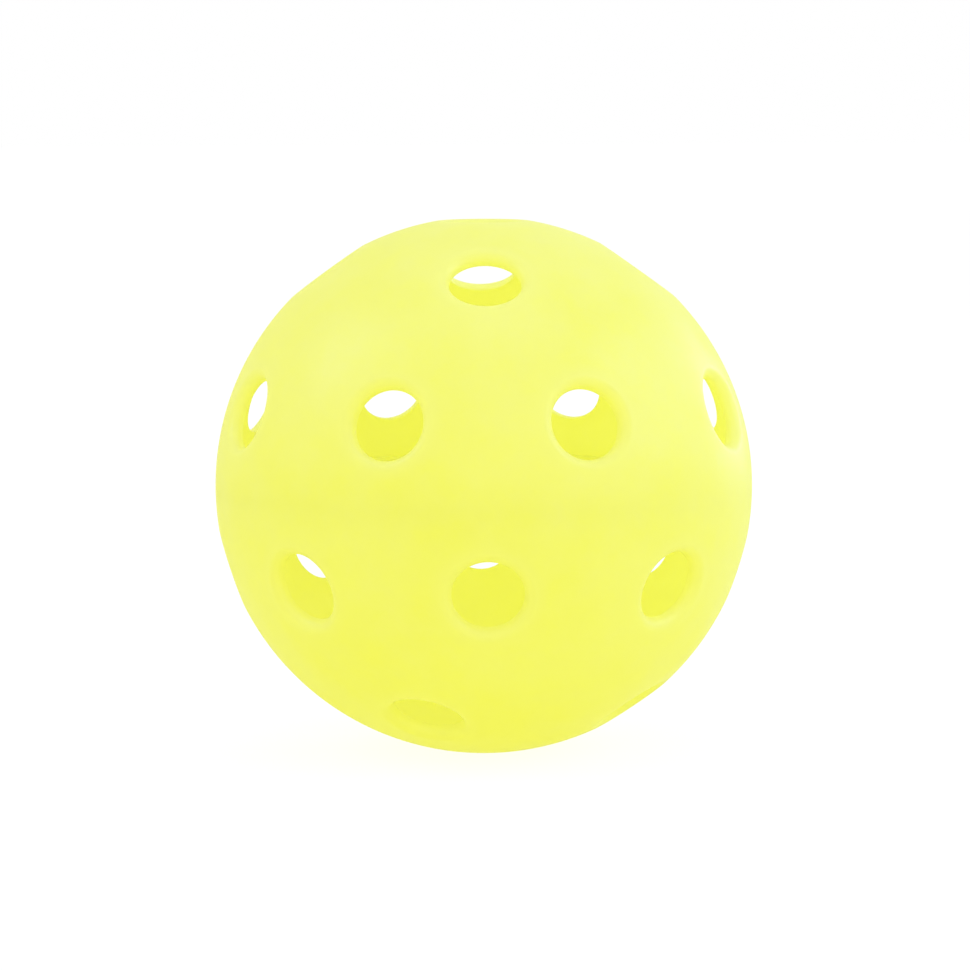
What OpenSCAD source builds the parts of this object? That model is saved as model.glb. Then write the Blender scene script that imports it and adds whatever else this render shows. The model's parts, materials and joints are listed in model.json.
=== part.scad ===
// Floorball ball: two perforated half shells welded edge to edge
// The centre of the ball is the origin, and +Z runs through the holes at its poles

/* [Ball] */
// Outside diameter of the ball
ball_d = 72; // [66:0.5:80]
// Thickness of the wall
wall = 1.9; // [1.4:0.1:2.6]

/* [Holes] */
// Diameter of a hole at its neck
hole_d = 9.4; // [7:0.1:11]
// Radius of the rounded outer rim of a hole
rim_r = 1.3; // [0.4:0.1:1.8]
// Number of holes in the ring round each pole
pole_ring_n = 4; // [3:1:6]
// Latitude of the ring round each pole, in degrees
pole_ring_lat = 54.4; // [46:0.2:60]
// Number of holes in the ring on each side of the weld
weld_ring_n = 8; // [6:1:10]
// Latitude of the ring on each side of the weld, in degrees
weld_ring_lat = 18.3; // [14:0.1:26]

/* [Weld] */
// Radius of each of the two rolls of the bead inside the weld
bead_r = 0.5; // [0.3:0.05:0.8]

/* [Hidden] */
// Sides of the circles of a hole, the shell, the bead's ring, and the section of its rolls
hole_fn = 48;
shell_fn = 120;
bead_fn = 360;
roll_fn = 12;
$fn = hole_fn;
shell_colour = [0.96, 0.97, 0.42];
bead_colour = [0.93, 0.94, 0.33];

// Radii of the outside and the inside of the shell
ball_r = ball_d / 2;
inner_r = ball_r - wall;

// The rounding of a rim leaves a straight neck below it
neck_r = hole_d / 2;
rounding_share = 0.7;
rounding_r = min(rim_r, rounding_share * wall);

// Centre of the rounding's circle: it touches the neck, and passes out of the ball by a hair for a clean edge
crossing = 0.002;
rounding_x = neck_r + rounding_r;
rounding_z = sqrt(pow(ball_r + crossing - rounding_r, 2) - pow(rounding_x, 2));

// The cutter of a hole reaches past the ball along the line from the centre through the rounding
cutter_margin = 1.1;
cutter_reach = cutter_margin * ball_r / (ball_r - rounding_r);
cutter_top = cutter_reach * rounding_z;

// The weld rings of the two halves are turned half a pitch apart
half_pitch = 180 / weld_ring_n;

// The rolls of the bead run into each other
overlap_share = 0.2;
roll_z = bead_r - overlap_share * bead_r;

// Turns +Z to a place on the ball, with longitude counted from -Y
module to_place(latitude, longitude) {
    rotate([0, 0, longitude])
        rotate([90 - latitude, 0, 0])
            children();
}

// A ring of evenly spaced places
module ring(count, latitude, first_longitude) {
    for (i = [0 : count - 1]) {
        to_place(latitude, first_longitude + i * 360 / count)
            children();
    }
}

// Cutter of one hole: a straight neck that opens into a rounded rim
module hole_cutter() {
    rotate_extrude()
        difference() {
            polygon([
                [0, 0],
                [neck_r, 0],
                [neck_r, rounding_z],
                [rounding_x, rounding_z],
                [cutter_reach * rounding_x, cutter_top],
                [0, cutter_top]
            ]);
            translate([rounding_x, rounding_z])
                circle(r = rounding_r);
        }
}

// Closed dome of even wall, open at the weld
module dome() {
    $fn = shell_fn;
    rotate_extrude()
        intersection() {
            difference() {
                circle(r = ball_r);
                circle(r = inner_r);
            }
            square(ball_r);
        }
}

// One moulding: a hole at the pole, a ring of holes round it and a ring near the weld
module half_shell() {
    difference() {
        dome();
        hole_cutter();
        ring(pole_ring_n, pole_ring_lat, 0)
            hole_cutter();
        ring(weld_ring_n, weld_ring_lat, half_pitch)
            hole_cutter();
    }
}

module upper_half_shell() {
    color(shell_colour)
        half_shell();
}

// The same moulding turned over, with its holes between those of the upper half
module lower_half_shell() {
    color(shell_colour)
        rotate([0, 0, -half_pitch])
            rotate([180, 0, 0])
                half_shell();
}

// Material pressed out of the weld: two rolls on the inside, one from each half
module weld_bead() {
    $fn = bead_fn;
    color(bead_colour)
        rotate_extrude()
            intersection() {
                circle(r = inner_r);
                for (side = [-1, 1]) {
                    translate([inner_r, side * roll_z])
                        circle(r = bead_r, $fn = roll_fn);
                }
            }
}

upper_half_shell();
lower_half_shell();
weld_bead();
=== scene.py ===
import bpy
import json
import math
import numpy as np
from mathutils import Matrix, Vector


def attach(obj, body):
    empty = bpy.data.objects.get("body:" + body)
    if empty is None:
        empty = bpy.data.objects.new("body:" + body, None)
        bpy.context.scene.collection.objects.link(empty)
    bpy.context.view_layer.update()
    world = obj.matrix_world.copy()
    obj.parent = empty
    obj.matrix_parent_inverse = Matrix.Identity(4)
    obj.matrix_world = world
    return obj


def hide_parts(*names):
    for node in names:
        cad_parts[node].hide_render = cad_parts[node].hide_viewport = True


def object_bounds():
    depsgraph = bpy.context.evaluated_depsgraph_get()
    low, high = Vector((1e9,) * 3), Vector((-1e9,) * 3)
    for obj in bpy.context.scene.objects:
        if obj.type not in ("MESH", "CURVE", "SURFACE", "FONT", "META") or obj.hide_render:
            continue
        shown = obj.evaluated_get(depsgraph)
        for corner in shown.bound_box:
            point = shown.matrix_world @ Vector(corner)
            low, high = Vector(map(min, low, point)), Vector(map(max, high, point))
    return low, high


mm = 0.001
tinyDigits = 9
tiny = 10.0 ** -tinyDigits  # directions closer than this are the same

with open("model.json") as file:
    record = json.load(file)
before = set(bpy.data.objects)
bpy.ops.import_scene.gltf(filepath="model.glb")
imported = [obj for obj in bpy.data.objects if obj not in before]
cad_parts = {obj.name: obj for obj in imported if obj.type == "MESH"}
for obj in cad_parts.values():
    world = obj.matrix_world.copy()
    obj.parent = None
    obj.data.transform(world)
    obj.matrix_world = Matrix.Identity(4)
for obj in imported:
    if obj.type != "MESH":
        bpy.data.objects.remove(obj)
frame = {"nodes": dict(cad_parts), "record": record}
cadLow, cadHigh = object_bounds()
print("frame loaded:", ", ".join(sorted(frame["nodes"])))


# The two half shells: one moulding used twice

halfShell = {
    "outerRadius": max(cadHigh.x, -cadLow.x),
    "wall": 1.9 * mm,
    "neckRadius": frame["record"]["mounts"][0]["dims"]["r_mm"] * mm,  # as in the bore at the poles
    "rimRadius": 1.3 * mm,  # rounding at the outside of a hole
    "edgeRadius": 0.2 * mm,  # slight rounding at its inside
    "poleRing": {"count": 4, "latitude": 54.4},
    "weldRing": {"count": 8, "latitude": 18.3},
    "borderStep": 2.0,  # degrees between grid lines where two holes' cells meet
    "steps": {"outer": 14, "rim": 10, "neck": 2, "edge": 4, "inner": 9},  # from the outside to the inside
    "crowding": 1.25,  # above 1, grid lines on the outside crowd towards the rim
    "rimHighlightWidth": 1.6 * mm,  # how far the painted highlight, a paler colour on the rims, fades out over the outside
    "creaseAngle": 50.0,  # degrees, edges sharper than this stay sharp
    "mergeDistance": 1e-4 * mm,  # points closer than this become one
}


# Unit vector at a latitude and a longitude counted from -Y, both in degrees: the longitude's
# direction in the level plane times the latitude's cosine, and the pole axis times its sine
def placeOnBall(latitude, longitude):
    up = math.radians(latitude)
    turn = np.radians(np.atleast_1d(longitude))
    level = np.stack([np.sin(turn), -np.cos(turn), 0 * turn], -1)
    return math.cos(up) * level + math.sin(up) * np.array([0, 0, 1])


# Axes of one half's holes: the pole, the ring round it, and the ring near the weld half a pitch on
def holeAxes(shell):
    poleRing, weldRing = shell["poleRing"], shell["weldRing"]
    poleTurns = np.arange(poleRing["count"]) * 360 / poleRing["count"]
    weldTurns = (np.arange(weldRing["count"]) + 0.5) * 360 / weldRing["count"]
    return np.concatenate([
        placeOnBall(90, 0),
        placeOnBall(poleRing["latitude"], poleTurns),
        placeOnBall(weldRing["latitude"], weldTurns),
    ])


# Evenly spaced points on the great circle from a to b, without b: each end is weighted
# by the sine of the angle to the other end, over the sine of the whole angle
def arcBetween(a, b, step):
    angle = math.acos(float(np.clip(a @ b, -1, 1)))
    count = max(1, round(math.degrees(angle) / step))
    t = np.arange(count)[:, None] / count
    return (np.sin((1 - t) * angle) * a + np.sin(t * angle) * b) / math.sin(angle)


# Border of the cell round one hole: the planes midway to its rivals bound a polygon on the ball,
# two planes cross at a corner if the crossing is inside all the others, and arcs join the corners
def cellBorder(axis, rivals, step):
    planes = axis - rivals
    first, second = np.triu_indices(len(planes), 1)
    crossings = np.cross(planes[first], planes[second])
    lengths = np.linalg.norm(crossings, axis=1)
    apart = lengths > tiny
    crossings = crossings[apart] / lengths[apart, None]
    corners = np.concatenate([crossings, -crossings])
    corners = corners[(corners @ planes.T > -tiny).all(1)]
    corners = np.unique(np.round(corners, tinyDigits) + 0.0, axis=0)
    aside = np.array([0.3, 0.5, 0.8])  # along no hole's axis, to count angles from
    right = np.cross(axis, aside)
    right /= np.linalg.norm(right)
    above = np.cross(axis, right)
    corners = corners[np.argsort(np.arctan2(corners @ above, corners @ right))]
    arcs = [arcBetween(a, b, step) for a, b in zip(corners, np.roll(corners, -1, 0))]
    return np.concatenate(arcs)


# Section of a hole as distances from its axis and heights along it: the rim's arc touches the outside
# of the ball and the neck, the neck runs straight in, and the edge's arc touches the neck and the inside
def holeSection(shell):
    outer = shell["outerRadius"]
    inner = outer - shell["wall"]
    neck, rim, edge = shell["neckRadius"], shell["rimRadius"], shell["edgeRadius"]
    steps = shell["steps"]
    rimAngle = math.asin((neck + rim) / (outer - rim))
    edgeAngle = math.asin((neck + edge) / (inner + edge))
    rimHeight = (outer - rim) * math.cos(rimAngle)
    edgeHeight = (inner + edge) * math.cos(edgeAngle)
    rimTurn = np.linspace(rimAngle, -math.pi / 2, steps["rim"] + 1)
    edgeTurn = np.linspace(-math.pi / 2, edgeAngle - math.pi, steps["edge"] + 1)
    neckHeight = np.linspace(rimHeight, edgeHeight, steps["neck"] + 1)[1:-1]
    away = np.concatenate([
        neck + rim + rim * np.sin(rimTurn),
        neck + 0 * neckHeight,
        neck + edge + edge * np.sin(edgeTurn),
    ])
    height = np.concatenate([
        rimHeight + rim * np.cos(rimTurn),
        neckHeight,
        edgeHeight + edge * np.cos(edgeTurn),
    ])
    return away, height, rimAngle, edgeAngle


# Surface of one cell on a grid: round the border, and from the border over the outside to the hole,
# through the hole along its section, and back over the inside to the border
def cellSurface(axis, border, shell):
    away, height, rimAngle, edgeAngle = holeSection(shell)
    outer = shell["outerRadius"]
    inner = outer - shell["wall"]
    steps = shell["steps"]
    along = border @ axis
    reach = np.arccos(along)[:, None]
    direction = border - along[:, None] * axis
    direction /= np.linalg.norm(direction, axis=1, keepdims=True)
    outerShare = (np.arange(steps["outer"], 0, -1) / steps["outer"]) ** shell["crowding"]
    innerShare = np.arange(1, steps["inner"] + 1) / steps["inner"]
    outerAngle = rimAngle + (reach - rimAngle) * outerShare
    innerAngle = edgeAngle + (reach - edgeAngle) * innerShare
    whole = np.ones_like(reach)
    across = np.concatenate([outer * np.sin(outerAngle), whole * away, inner * np.sin(innerAngle)], 1)
    upward = np.concatenate([outer * np.cos(outerAngle), whole * height, inner * np.cos(innerAngle)], 1)
    points = across[..., None] * direction[:, None] + upward[..., None] * axis
    # painted highlight: the hole's rim, neck and inner edge take the paler rim colour in full, it fades
    # out over the outside, and the inside has none
    fade = np.clip(1 - outer * (outerAngle - rimAngle) / shell["rimHighlightWidth"], 0, 1)
    rimHighlight = np.concatenate([fade, whole + 0 * away, 0 * innerAngle], 1)
    return points, rimHighlight


# Four-sided faces of a grid that is closed along its first direction
def gridFaces(rows, columns):
    index = np.arange(rows * columns).reshape(rows, columns)
    onward = np.roll(index, -1, 0)
    return np.stack([index[:, :-1], onward[:, :-1], onward[:, 1:], index[:, 1:]], -1).reshape(-1, 4)


# Faces of the flat weld: they join the outside to the inside where the border runs in the weld's plane
def weldFaces(border, columns):
    onWeld = np.abs(border[:, 2]) < tiny
    here = np.flatnonzero(onWeld & np.roll(onWeld, -1))
    outside, outsideOnward = here * columns, (here + 1) % len(border) * columns
    inside, insideOnward = outside + columns - 1, outsideOnward + columns - 1
    return np.stack([outside, inside, insideOnward, outsideOnward], -1)


# Points that lie together become one, and the faces and the painted rim highlight follow them
def mergePoints(points, faces, rimHighlight, distance):
    keys = np.round(points / distance).astype(np.int64)
    _, kept, place = np.unique(keys, axis=0, return_index=True, return_inverse=True)
    return points[kept], place.ravel()[faces], rimHighlight[kept]


# One half: the cells of its holes side by side. Their mirror images below the weld count as rivals too,
# so the weld's plane is a border
def halfShellSurface(shell):
    axes = holeAxes(shell)
    images = axes * [1, 1, -1]
    points, faces, rimHighlight = [], [], []
    start = 0
    for i, axis in enumerate(axes):
        rivals = np.concatenate([np.delete(axes, i, 0), images])
        border = cellBorder(axis, rivals, shell["borderStep"])
        grid, gridRimHighlight = cellSurface(axis, border, shell)
        rows, columns = grid.shape[:2]
        points.append(grid.reshape(-1, 3))
        faces += [gridFaces(rows, columns) + start, weldFaces(border, columns) + start]
        rimHighlight.append(gridRimHighlight.ravel())
        start += rows * columns
    joined = [np.concatenate(part) for part in (points, faces, rimHighlight)]
    return mergePoints(*joined, shell["mergeDistance"])


# A mesh in the place of its CAD node, riding on the ball's one body
def makePiece(name, node, points, faces, rimHighlight, material):
    mesh = bpy.data.meshes.new(name)
    mesh.from_pydata(points.tolist(), [], faces.tolist())
    # the painted rim highlight, as a share on each point
    mark = mesh.attributes.new("rimHighlight", "FLOAT", "POINT")
    mark.data.foreach_set("value", rimHighlight.astype(np.float32))
    mesh.shade_smooth()
    mesh.set_sharp_from_angle(angle=math.radians(halfShell["creaseAngle"]))
    mesh.materials.append(material)
    piece = bpy.data.objects.new(name, mesh)
    bpy.context.scene.collection.objects.link(piece)
    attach(piece, "root")
    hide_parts(node)
    print("made", name, "with", len(points), "points and", len(faces), "faces")
    return piece


# The finish: soft bright yellow plastic, half of whose light comes through the wall

plastic = {
    "deepYellow": (0.975, 0.985, 0.25),
    "paleYellow": (0.985, 0.995, 0.45),
    # painted highlight: a paler colour on the rims and necks of the holes, where their roundings would
    # catch the light
    "rimHighlightYellow": (0.985, 0.995, 0.40),
    "throughYellow": (0.985, 0.98, 0.38),  # light that has passed through the wall
    "throughShare": 0.58,
    "clouds": {"size": 14 * mm, "detail": 5, "roughness": 0.82},  # mottle of deep and pale yellow
    "polish": {"size": 6 * mm, "detail": 3, "roughness": 0.5},  # smoother and rougher places
    "ripple": {"size": 6 * mm, "detail": 1, "roughness": 0.5, "depth": 0.05 * mm},
    "grain": {"size": 0.7 * mm, "detail": 2, "roughness": 0.5, "depth": 0.006 * mm},
    "noiseRange": (0.3, 0.7),  # where most of a noise's values lie
    "roughness": (0.32, 0.48),
    "gloss": 1.0,  # full, because the share of light that comes through has none
    "sheen": 0.25,
}


def yellowPlastic(name, finish):
    material = bpy.data.materials.new(name)
    material.use_nodes = True
    nodes, links = material.node_tree.nodes, material.node_tree.links
    shader = nodes["Principled BSDF"]
    place = nodes.new("ShaderNodeTexCoord").outputs["Object"]

    def noise(pattern):
        node = nodes.new("ShaderNodeTexNoise")
        node.inputs["Scale"].default_value = 1 / pattern["size"]
        node.inputs["Detail"].default_value = pattern["detail"]
        node.inputs["Roughness"].default_value = pattern["roughness"]
        links.new(place, node.inputs["Vector"])
        return node.outputs["Fac"]

    def spread(value, low, high):
        node = nodes.new("ShaderNodeMapRange")
        links.new(value, node.inputs["Value"])
        node.inputs["From Min"].default_value = finish["noiseRange"][0]
        node.inputs["From Max"].default_value = finish["noiseRange"][1]
        node.inputs["To Min"].default_value = low
        node.inputs["To Max"].default_value = high
        return node.outputs["Result"]

    def mix(factor, a, b):
        node = nodes.new("ShaderNodeMix")
        node.data_type = "RGBA"
        links.new(factor, node.inputs["Factor"])
        for socket, colour in ((node.inputs["A"], a), (node.inputs["B"], b)):
            if isinstance(colour, tuple):
                socket.default_value = (*colour, 1)
            else:
                links.new(colour, socket)
        return node.outputs["Result"]

    def bump(pattern, under=None):
        node = nodes.new("ShaderNodeBump")
        node.inputs["Strength"].default_value = 1
        node.inputs["Distance"].default_value = pattern["depth"]
        links.new(noise(pattern), node.inputs["Height"])
        if under:
            links.new(under, node.inputs["Normal"])
        return node.outputs["Normal"]

    # clouds of colour that give way to the painted highlight, a paler colour on the rims
    rimHighlight = nodes.new("ShaderNodeAttribute")
    rimHighlight.attribute_name = "rimHighlight"
    cloudy = mix(spread(noise(finish["clouds"]), 0, 1), finish["deepYellow"], finish["paleYellow"])
    colour = mix(rimHighlight.outputs["Fac"], cloudy, finish["rimHighlightYellow"])
    links.new(colour, shader.inputs["Base Color"])
    links.new(spread(noise(finish["polish"]), *finish["roughness"]), shader.inputs["Roughness"])
    shader.inputs["Specular IOR Level"].default_value = finish["gloss"]
    shader.inputs["Sheen Weight"].default_value = finish["sheen"]
    relief = bump(finish["grain"], bump(finish["ripple"]))
    links.new(relief, shader.inputs["Normal"])

    # light that comes through the wall
    through = nodes.new("ShaderNodeBsdfTranslucent")
    through.inputs["Color"].default_value = (*finish["throughYellow"], 1)
    links.new(relief, through.inputs["Normal"])
    both = nodes.new("ShaderNodeMixShader")
    both.inputs["Fac"].default_value = finish["throughShare"]
    links.new(shader.outputs["BSDF"], both.inputs[1])
    links.new(through.outputs["BSDF"], both.inputs[2])
    links.new(both.outputs["Shader"], nodes["Material Output"].inputs["Surface"])
    return material


shellFinish = yellowPlastic("yellowPlastic", plastic)
points, faces, rimHighlight = halfShellSurface(halfShell)
makePiece("upperShell", "upper_half_shell", points, faces, rimHighlight, shellFinish)

# The lower half is the same moulding turned over, and turned half a pitch of its weld ring
halfPitch = math.pi / halfShell["weldRing"]["count"]
turnOver = Matrix.Rotation(-halfPitch, 3, "Z") @ Matrix.Rotation(math.pi, 3, "X")
lowerPoints = points @ np.array(turnOver).T
makePiece("lowerShell", "lower_half_shell", lowerPoints, faces, rimHighlight, shellFinish)


# The bead inside the weld: two rolls side by side, carried round the ball

bead = {
    "rollRadius": 0.5 * mm,
    "rollOverlap": 0.1 * mm,  # how far a roll runs past the weld's plane into the other
    "rollSteps": 12,  # points over one roll
    "roundSteps": 240,  # and round the ball
}

# The bead lies against the wall, so less light comes through it, and its colour is painted paler to lift
# the shade that falls on it there
beadPlastic = {
    **plastic,
    "deepYellow": (0.99, 0.99, 0.42),
    "paleYellow": (0.99, 0.995, 0.55),
    "throughShare": 0.2,
}


# Section of the bead carried round the pole axis: each roll is part of a circle that stands
# on the inside of the wall, and the two rolls meet in a groove at the weld
def beadSurface(bead, shell):
    inner = shell["outerRadius"] - shell["wall"]
    roll = bead["rollRadius"]
    middle = roll - bead["rollOverlap"]
    groove = math.acos(middle / roll)
    turn = np.linspace(0, math.pi - groove, bead["rollSteps"])
    rise = roll * np.sin(turn)
    height = middle + roll * np.cos(turn)
    rise = np.concatenate([rise, rise[-2::-1]])
    height = np.concatenate([height, -height[-2::-1]])
    away = np.sqrt(inner ** 2 - height ** 2) - rise
    angle = np.arange(bead["roundSteps"])[:, None] * 2 * math.pi / bead["roundSteps"]
    points = np.stack([away * np.cos(angle), away * np.sin(angle), height + 0 * angle], -1)
    rows, columns = points.shape[:2]
    top = np.arange(rows) * columns
    bottom = top + columns - 1
    back = np.stack([bottom, np.roll(bottom, -1), np.roll(top, -1), top], -1)
    return points.reshape(-1, 3), np.concatenate([gridFaces(rows, columns), back])


beadPoints, beadFaces = beadSurface(bead, halfShell)
noRimHighlight = np.zeros(len(beadPoints))
beadFinish = yellowPlastic("beadPlastic", beadPlastic)
weldBead = makePiece("weldBead", "weld_bead", beadPoints, beadFaces, noRimHighlight, beadFinish)

# Too thin to darken the wall behind it, so scattered light passes the bead
weldBead.visible_diffuse = False
weldBead.visible_transmission = False
weldBead.visible_shadow = False


# Floor and light

studio = {
    "floorSize": 6.0,
    "floorGlow": (0.78, 0.77, 0.05),  # warm light that the floor sends up to the ball
    "floorBack": (0.22, 0.22, 0.36),  # and what it sends back of the light that falls on it
    "seenGlow": (0.86, 0.86, 0.86),  # what the camera sees of the floor: white
    "seenBack": (0.18, 0.18, 0.18),  # with a share of the shadow
    "skyCool": (0.845, 0.87, 0.885),  # light from all round
    "seenSky": (1.0, 1.0, 1.0),  # and what the camera sees beyond the floor
}


# One where a ray comes from the camera, a reflection or a passage through something, else zero
def seenDirectly(nodes, links):
    path = nodes.new("ShaderNodeLightPath")
    seen = path.outputs["Is Camera Ray"]
    for ray in ("Is Glossy Ray", "Is Transmission Ray"):
        larger = nodes.new("ShaderNodeMath")
        larger.operation = "MAXIMUM"
        links.new(seen, larger.inputs[0])
        links.new(path.outputs[ray], larger.inputs[1])
        seen = larger.outputs[0]
    return seen


def floorFinish(studio):
    material = bpy.data.materials.new("floorWhite")
    material.use_nodes = True
    nodes, links = material.node_tree.nodes, material.node_tree.links
    nodes.remove(nodes["Principled BSDF"])

    def glowAndBack(glowColour, backColour):
        glow = nodes.new("ShaderNodeEmission")
        glow.inputs["Color"].default_value = (*glowColour, 1)
        back = nodes.new("ShaderNodeBsdfDiffuse")
        back.inputs["Color"].default_value = (*backColour, 1)
        both = nodes.new("ShaderNodeAddShader")
        links.new(glow.outputs["Emission"], both.inputs[0])
        links.new(back.outputs["BSDF"], both.inputs[1])
        return both.outputs["Shader"]

    either = nodes.new("ShaderNodeMixShader")
    links.new(seenDirectly(nodes, links), either.inputs["Fac"])
    links.new(glowAndBack(studio["floorGlow"], studio["floorBack"]), either.inputs[1])
    links.new(glowAndBack(studio["seenGlow"], studio["seenBack"]), either.inputs[2])
    links.new(either.outputs["Shader"], nodes["Material Output"].inputs["Surface"])
    return material


def makeFloor(studio, height):
    half = studio["floorSize"] / 2
    corners = [
        (-half, -half, height),
        (half, -half, height),
        (half, half, height),
        (-half, half, height),
    ]
    mesh = bpy.data.meshes.new("floor")
    mesh.from_pydata(corners, [], [(0, 1, 2, 3)])
    mesh.materials.append(floorFinish(studio))
    floor = bpy.data.objects.new("floor", mesh)
    bpy.context.scene.collection.objects.link(floor)


def makeWorld(studio):
    world = bpy.data.worlds.new("studioWorld")
    bpy.context.scene.world = world
    world.use_nodes = True
    nodes, links = world.node_tree.nodes, world.node_tree.links
    either = nodes.new("ShaderNodeMix")
    either.data_type = "RGBA"
    links.new(seenDirectly(nodes, links), either.inputs["Factor"])
    either.inputs["A"].default_value = (*studio["skyCool"], 1)
    either.inputs["B"].default_value = (*studio["seenSky"], 1)
    links.new(either.outputs["Result"], nodes["Background"].inputs["Color"])


coolLight = (0.29, 0.40, 1.0)  # pales the lit side and leaves it yellow
warmLight = (1.0, 0.95, 0.28)  # lifts the front between the sky's light and the floor's

lamps = {
    "top": {"place": (0.0, -0.15, 0.80), "size": 0.5, "watts": 0.6, "colour": coolLight},
    "left": {"place": (-0.62, 0.0, 0.60), "size": 0.35, "watts": 1.15, "colour": coolLight},
    "right": {"place": (0.75, -0.10, 0.42), "size": 0.6, "watts": 2.7, "colour": coolLight},
    "edge": {"place": (0.60, 0.55, 0.14), "size": 0.35, "watts": 1.7, "colour": coolLight},
    "front": {"place": (0.0, -0.75, 0.10), "size": 0.6, "watts": 0.55, "colour": warmLight},
}


def makeLamp(name, lamp):
    light = bpy.data.lights.new(name, "AREA")
    light.shape = "SQUARE"
    light.size = lamp["size"]
    light.energy = lamp["watts"]
    light.color = lamp["colour"]
    holder = bpy.data.objects.new(name, light)
    holder.location = lamp["place"]
    holder.rotation_euler = (-Vector(lamp["place"])).to_track_quat("-Z", "Y").to_euler()
    bpy.context.scene.collection.objects.link(holder)


makeFloor(studio, cadLow.z)
makeWorld(studio)
for lampName, lamp in lamps.items():
    makeLamp(lampName, lamp)
print("floor, world and", len(lamps), "lamps set")


# Camera: a long lens a little above the ball's middle

view = {
    "imageWidth": 970,
    "imageHeight": 971,
    "ballCentre": (483.8, 484.8),  # in the picture
    "ballRadius": 268.3,  # in the picture
    "distance": 0.600,  # metres from the ball's centre
    "elevation": 5.9,  # degrees, as the next two
    "azimuth": -0.87,
    "roll": -0.25,
    "sensor": 36.0,  # width in millimetres
}


# Looks at the ball's centre from an elevation and an azimuth counted from -Y: the focal length makes
# the ball's outline as large as in the picture, and the shift puts its centre in the same place
def makeCamera(view, radius):
    width, height = view["imageWidth"], view["imageHeight"]
    across, down = view["ballCentre"]
    lens = bpy.data.cameras.new("camera")
    lens.sensor_fit = "HORIZONTAL"
    lens.sensor_width = view["sensor"]
    ratio = view["distance"] / radius
    lens.lens = view["sensor"] * view["ballRadius"] * math.sqrt(ratio ** 2 - 1) / width
    lens.shift_x = (width / 2 - across) / width
    lens.shift_y = (down - height / 2) / width
    camera = bpy.data.objects.new("camera", lens)
    up, turn = math.radians(view["elevation"]), math.radians(view["azimuth"])
    back = Vector((math.sin(turn) * math.cos(up), -math.cos(turn) * math.cos(up), math.sin(up)))
    aim = back.to_track_quat("Z", "Y").to_matrix() @ Matrix.Rotation(math.radians(view["roll"]), 3, "Z")
    camera.matrix_world = Matrix.Translation(back * view["distance"]) @ aim.to_4x4()
    bpy.context.scene.collection.objects.link(camera)
    bpy.context.scene.camera = camera


makeCamera(view, halfShell["outerRadius"])
bpy.context.scene.view_settings.view_transform = "Standard"
print("camera set")
